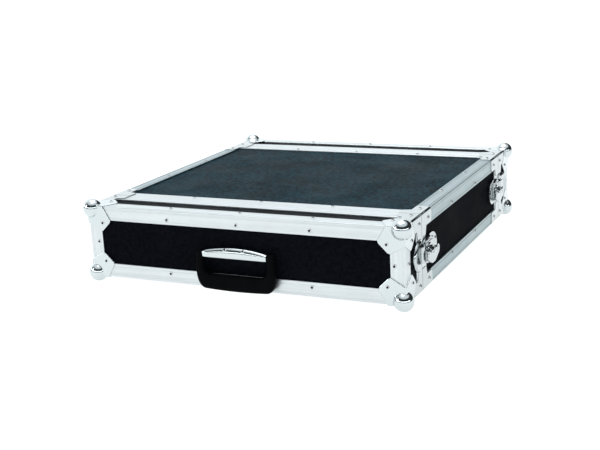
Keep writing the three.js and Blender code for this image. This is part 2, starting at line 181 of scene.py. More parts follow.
class Nodes:
    """A material's node tree, with short calls for what the finishes share."""

    def __init__(self, name):
        self.material = bpy.data.materials.new(name)
        self.material.use_nodes = True
        self.tree = self.material.node_tree
        self.shader = self.tree.nodes["Principled BSDF"]
        self.place = self.add("ShaderNodeTexCoord").outputs["Object"]

    def add(self, kind, **values):
        node = self.tree.nodes.new(kind)
        for key, value in values.items():
            setattr(node, key, value)
        return node

    def link(self, output, socket):
        self.tree.links.new(output, socket)

    def mapped(self, scale):
        node = self.add("ShaderNodeMapping")
        node.inputs["Scale"].default_value = scale
        self.link(self.place, node.inputs["Vector"])
        return node.outputs["Vector"]

    def noise(self, scale, detail=3.0, roughness=0.55, vector=None):
        node = self.add("ShaderNodeTexNoise")
        node.inputs["Scale"].default_value = scale
        node.inputs["Detail"].default_value = detail
        node.inputs["Roughness"].default_value = roughness
        self.link(vector or self.place, node.inputs["Vector"])
        return node.outputs["Fac"]

    def cells(self, scale, feature="F1", vector=None):
        node = self.add("ShaderNodeTexVoronoi", feature=feature)
        node.inputs["Scale"].default_value = scale
        self.link(vector or self.place, node.inputs["Vector"])
        return node.outputs["Distance"]

    def spread(self, value, low, high, from_low=0.0, from_high=1.0):
        node = self.add("ShaderNodeMapRange")
        node.inputs["From Min"].default_value = from_low
        node.inputs["From Max"].default_value = from_high
        node.inputs["To Min"].default_value = low
        node.inputs["To Max"].default_value = high
        self.link(value, node.inputs["Value"])
        return node.outputs["Result"]

    def sum(self, a, b, share=1.0):
        node = self.add("ShaderNodeMath", operation="MULTIPLY_ADD")
        self.link(b, node.inputs[0])
        node.inputs[1].default_value = share
        self.link(a, node.inputs[2])
        return node.outputs[0]

    def mixed(self, factor, first, second):
        node = self.add("ShaderNodeMix", data_type="RGBA")
        self.link(factor, node.inputs["Factor"])
        node.inputs["A"].default_value = (*first, 1)
        node.inputs["B"].default_value = (*second, 1)
        return node.outputs["Result"]

    def colour(self, output):
        self.link(output, self.shader.inputs["Base Color"])

    def roughness(self, output):
        self.link(output, self.shader.inputs["Roughness"])

    def bump(self, height, distance, strength=1.0):
        node = self.add("ShaderNodeBump")
        node.inputs["Strength"].default_value = strength
        node.inputs["Distance"].default_value = distance
        self.link(height, node.inputs["Height"])
        self.link(node.outputs["Normal"], self.shader.inputs["Normal"])


def shade(colour, factor):
    return tuple(channel * factor for channel in colour)


def laminate_material(name, base, sheen, mottle):
    """Black board facing with a fine pebbled grain and a soft, uneven sheen."""
    n = Nodes(name)
    patches = n.sum(n.noise(150, 4, 0.7), n.noise(9, 5, 0.65), 0.4)
    patches = n.spread(patches, 0, 1, 0.6, 0.8)
    n.colour(n.mixed(patches, shade(base, 1 - mottle), shade(base, 1 + mottle)))
    n.shader.inputs["Specular IOR Level"].default_value = sheen
    n.shader.inputs["Specular Tint"].default_value = (0.66, 0.92, 1.0, 1)
    n.roughness(n.spread(n.noise(14, 5), 0.5, 0.64, 0.3, 0.7))
    n.bump(n.sum(n.cells(700), n.noise(260, 3), 0.5), 0.0003, 0.6)
    return n.material


# Painted shade: the extrusions along the depth get a darker, bluer base than the others, for how light
# falls on the case's sides.
PAINTED_SHADE_TINT = (0.51, 0.595, 0.615)  # the extrusions along the depth are duller and a little bluer


def aluminium_material(run, tint=(1.0, 1.0, 1.0)):
    """Bright extruded aluminium whose die lines run along one axis."""
    n = Nodes(f"aluminium_along_{run}")
    base = tuple(channel * part for channel, part in zip(colours().aluminium, tint))
    scale = [1.0, 1.0, 1.0]
    scale["xyz".index(run)] = 0.012
    lines = n.noise(900, 3, 0.6, n.mapped(scale))
    bands = n.noise(240, 2, 0.5, n.mapped(scale))
    bands = n.spread(n.sum(bands, n.noise(22, 3), 0.5), 0, 1, 0.45, 1.0)
    n.colour(n.mixed(bands, shade(base, 0.86), base))
    n.shader.inputs["Metallic"].default_value = 1.0
    worn = n.noise(60, 4)
    n.roughness(n.spread(n.sum(lines, worn, 0.6), 0.24, 0.44, 0.5, 1.1))
    n.bump(lines, 0.00006, 0.4)
    return n.material


def plated_material(name, dullness):
    """Bright plated steel: nearly a mirror, with faint polishing haze and a slight orange peel."""
    n = Nodes(name)
    base = shade(tuple(colours().plate), 1 - dullness)
    n.colour(n.mixed(n.noise(35, 3), shade(base, 0.94), base))
    n.shader.inputs["Metallic"].default_value = 1.0
    n.roughness(n.spread(n.noise(120, 4), 0.06, 0.16, 0.3, 0.75))
    n.bump(n.noise(170, 2), 0.0001, 0.25)
    return n.material


def rivet_material():
    """Dull aluminium of the blind rivets' heads."""
    n = Nodes("rivet_aluminium")
    n.colour(n.mixed(n.noise(400, 3), (0.5, 0.52, 0.53), (0.72, 0.74, 0.75)))
    n.shader.inputs["Metallic"].default_value = 1.0
    n.roughness(n.spread(n.noise(700, 3), 0.25, 0.5))
    return n.material


def mandrel_material():
    """The near-black end of a rivet's broken mandrel: partly its dark steel, partly painted shade for
    the hole in the rivet's head.
    """
    n = Nodes("mandrel_steel_painted_shade")
    n.colour(n.mixed(n.noise(900, 3), (0.006, 0.006, 0.007), (0.03, 0.03, 0.032)))
    n.shader.inputs["Metallic"].default_value = 0.6
    n.roughness(n.spread(n.noise(800, 3), 0.45, 0.7))
    return n.material


def powder_material():
    """Black powder coat with its fine orange peel."""
    n = Nodes("black_powder_coat")
    base = tuple(colours().powder)
    n.colour(n.mixed(n.noise(80, 3), shade(base, 0.7), shade(base, 1.3)))
    n.roughness(n.spread(n.noise(300, 3), 0.38, 0.55))
    n.bump(n.noise(1400, 2), 0.00012, 0.5)
    return n.material


def foam_material():
    """Dark open-cell foam: pits between its cells, and a velvety look from the side."""
    n = Nodes("dark_foam")
    base = tuple(colours().foam)
    pores = n.cells(620)
    # Painted shade: the foam is darker at its pits, for the shade in its pores.
    n.colour(n.mixed(n.spread(pores, 0, 1, 0.1, 0.6), shade(base, 0.45), shade(base, 1.6)))
    n.shader.inputs["Sheen Weight"].default_value = 0.25
    n.roughness(n.spread(n.noise(500, 2), 0.88, 1.0))
    n.bump(n.sum(pores, n.noise(1500, 3), 0.6), 0.0006, 0.9)
    return n.material


def grip_material():
    """Moulded black plastic with a fine leather-like texture, shinier where hands have worn it."""
    n = Nodes("grip_plastic")
    base = tuple(colours().grip)
    n.colour(n.mixed(n.noise(40, 3), shade(base, 0.7), shade(base, 1.4)))
    n.shader.inputs["Specular IOR Level"].default_value = 0.012
    n.roughness(n.spread(n.noise(30, 4), 0.36, 0.52, 0.3, 0.7))
    n.bump(n.sum(n.cells(1300), n.noise(500, 3), 0.5), 0.00012, 0.5)
    return n.material


def floor_material():
    """Seamless pale paper, lit evenly from beneath."""
    n = Nodes("studio_paper")
    n.colour(n.mixed(n.noise(3, 3), (0.3, 0.3, 0.3), (0.32, 0.32, 0.32)))
    n.shader.inputs["Specular IOR Level"].default_value = 0.0
    n.shader.inputs["Emission Color"].default_value = (0.98, 1.0, 1.0, 1)
    n.shader.inputs["Emission Strength"].default_value = 0.96
    n.roughness(n.spread(n.noise(40, 2), 0.8, 0.9))
    return n.material


_made = {}


def finish(name):
    """The material of that name, made once."""
    black, lid = tuple(colours().laminate), tuple(colours().lid)
    makers = {
        "laminate": lambda: laminate_material("black_laminate", black, 0.005, 0.3),
        "laminate_rim": lambda: laminate_material("rim_laminate", black, 0.04, 0.3),
        # The top board's lighter, bluer base colour is painted sheen.
        "laminate_lid": lambda: laminate_material("sheen_painted_laminate", lid, 0.025, 0.7),
        "aluminium_x": lambda: aluminium_material("x"),
        # The extrusions along the depth take the painted shade tint.
        "aluminium_y": lambda: aluminium_material("y", PAINTED_SHADE_TINT),
        "aluminium_z": lambda: aluminium_material("z"),
        "plated": lambda: plated_material("bright_plated_steel", 0.0),
        "fittings": lambda: plated_material("fittings_plated_steel", 0.17),
        "rivet": rivet_material,
        "mandrel": mandrel_material,
        "powder": powder_material,
        "foam": foam_material,
        "grip": grip_material,
        "paper": floor_material,
    }
    if name not in _made:
        _made[name] = makers[name]()
    return _made[name]


# ---- Shapes ----------------------------------------------

AXES = {"x": (1, 2, 0), "y": (0, 2, 1), "z": (0, 1, 2)}


def add_prism(bm, outline, axis, low, high, bevel=0.0, segments=2, rims_only=False):
    """A closed prism along an axis, its outline in the two others: (y, z), (x, z) or (x, y)."""
    u, v, w = AXES[axis]
    rings = []
    for level in (low, high):
        ring = []
        for point in outline:
            place = [0.0, 0.0, 0.0]
            place[u], place[v], place[w] = point[0], point[1], level
            ring.append(bm.verts.new(place))
        rings.append(ring)
    caps = [bm.faces.new(ring) for ring in rings]
    sides = []
    for i in range(len(outline)):
        j = (i + 1) % len(outline)
        sides.append(bm.faces.new((rings[0][i], rings[0][j], rings[1][j], rings[1][i])))
    if bevel:
        chosen = caps if rims_only else caps + sides
        edges = list({edge for face in chosen for edge in face.edges})
        rounding = {"offset": bevel, "segments": segments, "affect": "EDGES", "clamp_overlap": True}
        bmesh.ops.bevel(bm, geom=edges, **rounding)


def add_box(bm, low, high, bevel=0.0, segments=2):
    outline = [(low[0], low[1]), (high[0], low[1]), (high[0], high[1]), (low[0], high[1])]
    add_prism(bm, outline, "z", low[2], high[2], bevel, segments)


def add_turned(bm, profile, axis, centre, steps=32):
    """A closed turned solid, its profile given as (radius, level) from the axis to the axis."""
    u, v, w = AXES[axis]
    rings = []
    for radius, level in profile:
        count = 1 if radius == 0 else steps
        ring = []
        for i in range(count):
            angle = 2 * math.pi * i / steps
            place = [0.0, 0.0, 0.0]
            place[u] = centre[0] + radius * math.cos(angle)
            place[v] = centre[1] + radius * math.sin(angle)
            place[w] = level
            ring.append(bm.verts.new(place))
        rings.append(ring)
    for low, high in zip(rings, rings[1:]):
        for i in range(steps):
            j = (i + 1) % steps
            here, there = i % len(low), j % len(low)
            corners = [low[here], low[there], high[j % len(high)], high[i % len(high)]]
            bm.faces.new(list(dict.fromkeys(corners)))


def add_loft(bm, rings):
    """A skin over rings of as many vertices each, closed at both ends."""
    for here, there in zip(rings, rings[1:]):
        for k in range(len(here)):
            j = (k + 1) % len(here)
            bm.faces.new((here[k], here[j], there[j], there[k]))
    bm.faces.new(rings[0])
    bm.faces.new(rings[-1])


def add_mitred_ring(bm, section):
    """A section of (depth under the outer face, y) swept round the case with mitred corners."""
    loops = []
    for sign_x, sign_z in ((-1, -1), (1, -1), (1, 1), (-1, 1)):
        loop = []
        for depth, y in section:
            x, z = sign_x * (HALF_WIDTH - depth), MID_Z + sign_z * (HALF_HEIGHT - depth)
            loop.append(bm.verts.new((x, y, z)))
        loops.append(loop)
    for i in range(4):
        here, there = loops[i], loops[(i + 1) % 4]
        for k in range(len(section)):
            j = (k + 1) % len(section)
            bm.faces.new((here[k], here[j], there[j], there[k]))


def arc(centre, radius, start, end, steps):
    """Points on a circle, or on an ellipse when the radius is a pair. The angles are in degrees."""
    wide, tall = radius if isinstance(radius, tuple) else (radius, radius)
    points = []
    for i in range(steps + 1):
        angle = math.radians(start + (end - start) * i / steps)
        points.append((centre[0] + wide * math.cos(angle), centre[1] + tall * math.sin(angle)))
    return points


def finished(name, bm, crease=32.0):
    """The mesh of a bmesh, facing out, smooth where faces meet at less than the crease angle."""
    bmesh.ops.recalc_face_normals(bm, faces=bm.faces)
    mesh = bpy.data.meshes.new(name)
    bm.to_mesh(mesh)
    bm.free()
    mesh.shade_smooth()
    mesh.set_sharp_from_angle(angle=math.radians(crease))
    return mesh


def quarter(end, side="right", height="top"):
    """Takes the front's top right quarter to another, by mirroring about the case's middle."""
    flip = Matrix.Diagonal((SIGNS[side], SIGNS[end], SIGNS[height])).to_4x4()
    middle = Vector((0, MID_Y, MID_Z))
    return Matrix.Translation(middle) @ flip @ Matrix.Translation(-middle)


def quarters():
    """Every end, side and height, with the move that takes the front's top right quarter there."""
    for end in ENDS:
        for side in SIDES:
            for height in HEIGHTS:
                yield end, side, height, quarter(end, side, height)


def placed(name, data):
    """An object in the scene with the given data."""
    thing = bpy.data.objects.new(name, data)
    bpy.context.scene.collection.objects.link(thing)
    return thing


def plain_mesh(holder):
    """The mesh that an object's modifiers give. The object and its own mesh are removed."""
    depsgraph = bpy.context.evaluated_depsgraph_get()
    mesh = bpy.data.meshes.new_from_object(holder.evaluated_get(depsgraph))
    source = holder.data
    bpy.data.objects.remove(holder)
    bpy.data.meshes.remove(source)
    return mesh


def add_piece(name, mesh, material, body, replaced=(), where=None):
    """A finished piece in its place, riding on its body."""
    mesh.name = name
    if where is not None:
        mesh.transform(where)
        if where.determinant() < 0:
            mesh.flip_normals()
    mesh.materials.clear()
    mesh.materials.append(finish(material))
    piece = placed(name, mesh)
    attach(piece, body)
    if replaced:
        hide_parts(*replaced)
    return piece


def remeshed(bm, voxel, rounds):
    """One smooth skin over overlapping solids, with soft fillets where they meet."""
    bmesh.ops.recalc_face_normals(bm, faces=bm.faces)
    rough = bpy.data.meshes.new("rough")
    bm.to_mesh(rough)
    bm.free()
    holder = placed("rough", rough)
    skin = holder.modifiers.new("skin", "REMESH")
    skin.mode = "VOXEL"
    skin.voxel_size = voxel
    relax = holder.modifiers.new("relax", "SMOOTH")
    relax.factor = 0.5
    relax.iterations = rounds
    mesh = plain_mesh(holder)
    mesh.shade_smooth()
    return mesh


# ---- Boards ----------------------------------------------


LAMINATES = {
    "body_top_panel": "laminate_lid",
    "front_cover_rim": "laminate_rim",
    "rear_cover_rim": "laminate_rim",
}


def finish_boards():
    names = [f"body_{place}_panel" for place in ("top", "bottom", "left", "right")]
    for end in ENDS:
        names += [f"{end}_cover_board", f"{end}_cover_rim"]
    for name in names:
        dress(name, LAMINATES.get(name, "laminate"))


def dress(node, material):
    """Gives a CAD node a finish."""
    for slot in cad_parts[node].material_slots:
        slot.material = finish(material)


# ---- Aluminium -------------------------------------------


def leg_points(length, depth):
    """The outer face of one leg, from the bend outwards, with two grooves and an eased tip."""
    lip = 0.5 * MM
    points = [(CORNER_ROUND, 0)]
    for groove in (0.2 * length, 0.8 * length):
        points += [
            (groove - 0.5 * MM, 0),
            (groove - 0.25 * MM, depth),
            (groove + 0.25 * MM, depth),
            (groove + 0.5 * MM, 0),
        ]
    points += [(length - lip, 0), (length, lip), (length, WALL)]
    return points


def angle_outline():
    """An edge angle's section, as distances in from the case's corner along each leg."""
    depth = sizes().groove_depth
    first = leg_points(LEG, depth)
    second = [(v, u) for u, v in reversed(first)]
    bend = arc((CORNER_ROUND, CORNER_ROUND), CORNER_ROUND, 180, 270, 6)
    return first + [(WALL, WALL)] + second + bend[1:-1]


def at_long_edge(outline, sign, up):
    """An outline measured in from one of the case's long edges, in (x, z)."""
    return [(sign * (HALF_WIDTH - u), MID_Z + up * (HALF_HEIGHT - v)) for u, v in outline]


def add_angle(node, section, axis, body):
    """An edge angle in place of its plain node, over the same run."""
    run = "xyz".index(axis)
    low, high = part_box(node)
    bm = bmesh.new()
    add_prism(bm, section, axis, low[run], high[run])
    mesh = finished(node, bm)
    add_piece(f"{node}_angle", mesh, f"aluminium_{axis}", body, [node])


def build_edge_angles():
    outline = angle_outline()
    for side in SIDES:
        for height in HEIGHTS:
            section = at_long_edge(outline, SIGNS[side], SIGNS[height])
            add_angle(f"body_edge_{height}_{side}", section, "y", "body")
    for end in ENDS:
        build_cover_angles(end, outline)


def build_cover_angles(end, outline):
    cover = f"{end}_cover"
    face = FRONT if end == "front" else REAR
    inward = SIGNS[end]
    for height in HEIGHTS:
        up = SIGNS[height]
        section = [(face + inward * u, MID_Z + up * (HALF_HEIGHT - v)) for u, v in outline]
        add_angle(f"{cover}_edge_{height}", section, "x", cover)
    for side in SIDES:
        out = SIGNS[side]
        section = [(out * (HALF_WIDTH - u), face + inward * v) for u, v in outline]
        add_angle(f"{cover}_edge_{side}", section, "z", cover)


def flange_points(width, depth):
    """The closing frame's outer face as (depth, distance from the seam), with two grooves."""
    lip = 0.5 * MM
    points = [(lip, SEAM_GAP), (0, SEAM_GAP + lip)]
    for groove in (0.3 * width, 0.72 * width):
        points += [
            (0, groove - 0.5 * MM),
            (depth, groove - 0.25 * MM),
            (depth, groove + 0.25 * MM),
            (0, groove + 0.5 * MM),
        ]
    points += [(0, width - lip), (lip, width), (WALL, width)]
    return points


def build_closing_frames():
    depth = sizes().groove_depth
    outer = flange_points(FLANGE, depth)
    near, far = GROOVE_SIDES
    body_section = outer + [
        (WALL, SEAM_GAP + BODY_WEB),
        (LINING, SEAM_GAP + BODY_WEB),
        (LINING, SEAM_GAP),
        (far, SEAM_GAP),
        (far, GROOVE_DEPTH),
        (near, GROOVE_DEPTH),
        (near, SEAM_GAP),
    ]
    near, far = TONGUE_SIDES
    cover_section = outer + [
        (WALL, SEAM_GAP + COVER_WEB),
        (LINING, SEAM_GAP + COVER_WEB),
        (LINING, SEAM_GAP),
        (far, SEAM_GAP),
        (far - TONGUE_TAPER, -TONGUE_LENGTH),
        (near + TONGUE_TAPER, -TONGUE_LENGTH),
        (near, SEAM_GAP),
    ]
    strips = angle_outline()
    for end in ENDS:
        bm = bmesh.new()
        add_mitred_ring(bm, [(d, SEAM + y) for d, y in body_section])
        mesh = finished(f"{end}_body_frame", bm)
        name = f"{end}_body_closing_frame"
        node = f"{end}_body_frame"
        add_piece(name, mesh, "aluminium_x", "body", [node], quarter(end))
        bm = bmesh.new()
        add_mitred_ring(bm, [(d, SEAM - y) for d, y in cover_section])
        for sign in (-1, 1):
            for up in (-1, 1):
                section = at_long_edge(strips, sign, up)
                add_prism(bm, section, "y", FRONT + LEG + 0.3 * MM, SEAM - FLANGE - 0.1 * MM)
        mesh = finished(f"{end}_cover_frame", bm)
        name = f"{end}_cover_closing_frame"
        node = f"{end}_cover_frame"
        where = quarter(end)
        add_piece(name, mesh, "aluminium_x", f"{end}_cover", [node], where)


# ---- Ball corners and braces -----------------------------


def ball_corner_mesh():
    """The top right ball corner of the front cover: a bulb with three riveted plates."""
    radius = sizes().ball_radius
    inset = 5 * MM
    thick = 1.5 * MM
    corner = Vector((HALF_WIDTH, FRONT, TOP))
    bm = bmesh.new()
    centre = Matrix.Translation(corner + Vector((-inset, inset, -inset)))
    bmesh.ops.create_uvsphere(bm, u_segments=48, v_segments=24, radius=radius, matrix=centre)
    plate = [
        (-thick, -thick),
        (27 * MM, -thick),
        (40 * MM, 21 * MM),
        (39 * MM, 25 * MM),
        (25 * MM, 39 * MM),
        (21 * MM, 40 * MM),
        (-thick, 27 * MM),
    ]
    skin = 0.3 * MM
    top = [(corner.x - u, corner.y + v) for u, v in plate]
    add_prism(bm, top, "z", corner.z + skin - 1.2 * MM, corner.z + thick)
    front = [(corner.x - u, corner.z - v) for u, v in plate]
    add_prism(bm, front, "y", corner.y - thick, corner.y - skin + 1.2 * MM)
    side = [(corner.y + u, corner.z - v) for u, v in plate]
    add_prism(bm, side, "x", corner.x + skin - 1.2 * MM, corner.x + thick)
    return remeshed(bm, sizes().voxel, 3)


def build_ball_corners():
    base = ball_corner_mesh()
    for end, side, height, where in quarters():
        node = f"{end}_cover_corner_{height}_{side}"
        cover = f"{end}_cover"
        add_piece(f"{node}_ball", base.copy(), "plated", cover, [node], where)
    bpy.data.meshes.remove(base)


def add_brace(bm, stations):
    """A bent sheet over the case's top right edge. Each station is (y, reach down both faces)."""
    bend = 4 * MM
    lift = 0.08 * MM + sizes().brace_thickness
    corner_x, corner_z = HALF_WIDTH + lift, TOP + lift
    rows = []
    for y, reach in stations:
        row = []
        for share in (1.0, 0.75, 0.5, 0.25):
            row.append((corner_x - bend - (reach - bend) * share, corner_z))
        for x, z in arc((corner_x - bend, corner_z - bend), bend, 90, 0, 10):
            row.append((x, z))
        for share in (0.25, 0.5, 0.75, 1.0):
            row.append((corner_x, corner_z - bend - (reach - bend) * share))
        rows.append([bm.verts.new((x, y, z)) for x, z in row])
    faces = []
    for here, there in zip(rows, rows[1:]):
        for k in range(len(here) - 1):
            faces.append(bm.faces.new((here[k], here[k + 1], there[k + 1], there[k])))
    bmesh.ops.recalc_face_normals(bm, faces=faces)
    if faces[0].normal.z < 0:
        bmesh.ops.reverse_faces(bm, faces=faces)
    bmesh.ops.solidify(bm, geom=faces, thickness=sizes().brace_thickness)


def build_braces():
    """Each seam's corners carry a bent brace on the cover and another on the body."""
    reach, leg, chamfer = 21.5 * MM, 34 * MM, 17 * MM
    step = 0.5 * MM
    cover = [
        (SEAM - 41.3 * MM, 3 * MM),
        (SEAM - 29 * MM, reach),
        (SEAM - FLANGE, reach),
        (SEAM - chamfer, leg),
        (SEAM - step, leg),
    ]
    body = [
        (SEAM + step, leg),
        (SEAM + chamfer, leg),
        (SEAM + FLANGE, reach),
        (SEAM + 41 * MM, reach),
        (SEAM + 44 * MM, reach - 3 * MM),
    ]
    for end, side, height, where in quarters():
        for part, stations in ((f"{end}_cover", cover), ("body", body)):
            bm = bmesh.new()
            add_brace(bm, stations)
            mesh = finished("brace", bm, 40)
            name = f"{end}_{part.split('_')[-1]}_brace_{height}_{side}"
            add_piece(name, mesh, "fittings", part, where=where)


# ---- Latches ---------------------------------------------


# The pressings' relief: a ridge round the spindle on the base, and the catch's raised rim.
RIDGE_RADIUS = 17.5 * MM
RIDGE_WIDTH = 3 * MM
RIDGE_HEIGHT = 3.4 * MM
RIM_HEIGHT = 4.2 * MM


def latch_x(height):
    return HALF_WIDTH + height


def latch_outline(points):
    """Points given from the seam and from the case's middle height, in metres, as (y, z)."""
    return [(SEAM + along, MID_Z + up) for along, up in points]


def smooth_step(value, low, high):
    share = min(1.0, max(0.0, (value - low) / (high - low)))
    return share * share * (3 - 2 * share)


def outline_reach(points, centre, angle):
    """Distance from a centre to an outline along an angle."""
    across, up = math.cos(angle), math.sin(angle)
    reach = 0.0
    for (x0, y0), (x1, y1) in zip(points, points[1:] + points[:1]):
        edge_x, edge_y = x1 - x0, y1 - y0
        from_x, from_y = x0 - centre[0], y0 - centre[1]
        cross = across * edge_y - up * edge_x
        if abs(cross) < 1e-12:
            continue
        share = (from_x * up - from_y * across) / cross
        if -1e-9 <= share <= 1 + 1e-9:
            reach = max(reach, (from_x * edge_y - from_y * edge_x) / cross)
    return reach


def add_relief(bm, points, centre, height, rings=16, steps=120):
    """A pressing over the aluminium, its outer face following a height over its outline."""
    rows = [[] for _ in range(rings)]
    foot = []
    for i in range(steps):
        angle = 2 * math.pi * i / steps
        reach = outline_reach(points, centre, angle)
        for k, row in enumerate(rows, 1):
            share = math.sin(math.pi / 2 * k / rings)
            along = centre[0] + reach * share * math.cos(angle)
            up = centre[1] + reach * share * math.sin(angle)
            level = height(along, up) - (0.5 * MM if k == rings else 0)
            row.append(bm.verts.new((latch_x(level), SEAM + along, MID_Z + up)))
        foot.append(bm.verts.new((latch_x(0.3 * MM), SEAM + along, MID_Z + up)))
    middle = bm.verts.new((latch_x(height(*centre)), SEAM + centre[0], MID_Z + centre[1]))
    for i in range(steps):
        j = (i + 1) % steps
        bm.faces.new((middle, rows[0][i], rows[0][j]))
        for here, there in zip(rows, rows[1:] + [foot]):
            bm.faces.new((here[i], there[i], there[j], here[j]))
    bm.faces.new(foot)


def add_board_step(bm, points, step):
    """The part of a latch plate that lies past the flange reaches down to the board."""
    beyond = []
    for along, up in points:
        beyond.append((max(along, step) if step > 0 else min(along, step), up))
    beyond = list(dict.fromkeys(beyond))
    add_prism(bm, latch_outline(beyond), "x", latch_x(0.35 * MM - BOARD_IN), latch_x(0.9 * MM))


def base_height(along, up):
    """The body's plate: level under the claw, with a curved ridge above and below its spindle."""
    out = math.hypot(along - SPINDLE_AT, up)
    ridge = math.exp(-(((out - RIDGE_RADIUS) / RIDGE_WIDTH) ** 2))
    dish = 0.9 * MM * smooth_step(out, 18 * MM, 34 * MM) * smooth_step(along, 40 * MM, 54 * MM)
    return BASE_TOP + RIDGE_HEIGHT * ridge * smooth_step(abs(up), 12.6 * MM, 15.5 * MM) + dish


def catch_height(along, up):
    """The cover's plate: a bowl with a raised rim, level where the claw's nose comes over it."""
    out = math.hypot((along + 16 * MM) / (21.5 * MM), up / (19.2 * MM))
    bowl = min(out, 1.0) ** 2 - smooth_step(out, 1.0, 1.2)
    clear = smooth_step(-along, 2 * MM, 16 * MM)
    return BASE_TOP - 0.3 * MM + RIM_HEIGHT * bowl * clear


def base_mesh():
    """The body's latch plate: a pressing with curved ridges round the spindle, and two guides."""
    bm = bmesh.new()
    points = [(1 * MM, -16 * MM), (20 * MM, -20 * MM)]
    points += arc((42 * MM, 0), 20.5 * MM, -88, 88, 30)
    points += [(20 * MM, 20 * MM), (1 * MM, 16 * MM)]
    add_relief(bm, points, (30 * MM, 0), base_height, 24)
    add_board_step(bm, points, FLANGE + 0.3 * MM)
    for sign in (-1, 1):
        inner, outer = sign * 12.3 * MM, sign * 14.8 * MM
        low = (latch_x(1 * MM), SEAM + 6 * MM, MID_Z + min(inner, outer))
        high = (latch_x(4 * MM), SEAM + 44 * MM, MID_Z + max(inner, outer))
        add_box(bm, low, high, 0.6 * MM, 3)
    return finished("latch_base", bm)


def catch_mesh():
    """The cover's latch plate, with the lip that the claw's nose goes over."""
    bm = bmesh.new()
    points = [(-1 * MM, 22 * MM)]
    points += arc((-16 * MM, 0), (24 * MM, 22 * MM), 90, 270, 30)
    points += [(-1 * MM, -22 * MM)]
    add_relief(bm, points, (-16 * MM, 0), catch_height, 20)
    add_board_step(bm, points, -FLANGE - 0.3 * MM)
    low = (latch_x(1 * MM), SEAM - 11.5 * MM, MID_Z - 12 * MM)
    high = (latch_x(3.6 * MM), SEAM - 9 * MM, MID_Z + 12 * MM)
    add_box(bm, low, high, 0.8 * MM, 3)
    return finished("latch_catch", bm)


def claw_mesh():
    """The sliding claw: a flat tail with a slot, stepping up to its curled nose."""
    bm = bmesh.new()
    half = 12 * MM
    side = [
        (41 * MM, 2.1 * MM),
        (2 * MM, 2.1 * MM),
        (2 * MM, 3.9 * MM),
        (-13.4 * MM, 3.9 * MM),
        (-14.4 * MM, 4.6 * MM),
        (-14.0 * MM, 5.6 * MM),
        (-12.5 * MM, 6.1 * MM),
        (4 * MM, 6.1 * MM),
        (6 * MM, 5.4 * MM),
        (8 * MM, 4.1 * MM),
        (41 * MM, 4.1 * MM),
    ]
    outline = [(latch_x(height), SEAM + along) for along, height in side]
    add_prism(bm, outline, "z", MID_Z - half, MID_Z + half, 0.45 * MM, 3)
    return finished("latch_claw", bm)


def spindle_mesh():
    """The eccentric's drum with its lug, and the pin through it."""
    bm = bmesh.new()
    centre = (SEAM + SPINDLE_AT, MID_Z)
    ease = 0.8 * MM
    drum = [
        (0, latch_x(CLAW_TOP - 1.5 * MM)),
        (6 * MM, latch_x(CLAW_TOP - 1.5 * MM)),
        (6 * MM, latch_x(CLAW_TOP + 0.3 * MM)),
        (10 * MM, latch_x(CLAW_TOP + 0.3 * MM)),
        (10 * MM, latch_x(DRUM_TOP - ease)),
        (10 * MM - ease, latch_x(DRUM_TOP)),
        (0, latch_x(DRUM_TOP)),
    ]
    add_turned(bm, drum, "x", centre, 40)
    low = (latch_x(DRUM_TOP - 1 * MM), centre[0] - 3.9 * MM, MID_Z - 2.9 * MM)
    high = (latch_x(12.2 * MM), centre[0] + 3.9 * MM, MID_Z + 2.9 * MM)
    add_box(bm, low, high, 1.1 * MM, 4)
    ends = (centre[0] - 12 * MM, centre[0] + 12 * MM)
    pin = [(0, ends[0]), (1.6 * MM, ends[0]), (1.6 * MM, ends[1]), (0, ends[1])]
    add_turned(bm, pin, "y", (latch_x(PIN_HEIGHT), MID_Z), 20)
    return finished("latch_spindle", bm)


def wing_mesh():
    """The folding butterfly: two round lobes and a tapered grip, rolled round its pin."""
    bm = bmesh.new()
    half = 1.2 * MM
    low, high = latch_x(PIN_HEIGHT - half), latch_x(PIN_HEIGHT + half)
    lobe, out, drop = 7 * MM, 20 * MM, 4.5 * MM
    points = arc((SPINDLE_AT + out, -drop), lobe, 80, -70, 18)
    points += arc((SPINDLE_AT + 5 * MM, -14.5 * MM), 4.5 * MM, -40, -90, 6)
    points += arc((SPINDLE_AT - 5 * MM, -14.5 * MM), 4.5 * MM, -90, -140, 6)
    points += arc((SPINDLE_AT - out, -drop), lobe, 250, 100, 18)
    shoulder, notch, step = 12.6 * MM, 4.4 * MM, -2 * MM
    room = [(-shoulder, 0), (-shoulder, step), (-notch, step), (-notch, -4.8 * MM)]
    room += [(-along, up) for along, up in reversed(room)]
    points += [(SPINDLE_AT + along, up) for along, up in room]
    add_prism(bm, latch_outline(points), "x", low, high, 0.7 * MM, 3, rims_only=True)
    for sign in (-1, 1):
        dome = [
            (0, latch_x(PIN_HEIGHT)),
            (5.2 * MM, latch_x(PIN_HEIGHT)),
            (5.0 * MM, high),
            (4.0 * MM, high + 0.5 * MM),
            (2.2 * MM, high + 0.85 * MM),
            (0, high + 0.95 * MM),
        ]
        add_turned(bm, dome, "x", (SEAM + SPINDLE_AT + sign * out, MID_Z - drop), 32)
        near, far = sorted((sign * 4.4 * MM, sign * 11.5 * MM))
        barrel = [
            (0, SEAM + SPINDLE_AT + near),
            (2.6 * MM, SEAM + SPINDLE_AT + near),
            (3.1 * MM, SEAM + SPINDLE_AT + near + 0.5 * MM),
            (3.1 * MM, SEAM + SPINDLE_AT + far - 0.5 * MM),
            (2.6 * MM, SEAM + SPINDLE_AT + far),
            (0, SEAM + SPINDLE_AT + far),
        ]
        add_turned(bm, barrel, "y", (latch_x(PIN_HEIGHT), MID_Z), 28)
    return finished("latch_wing", bm)


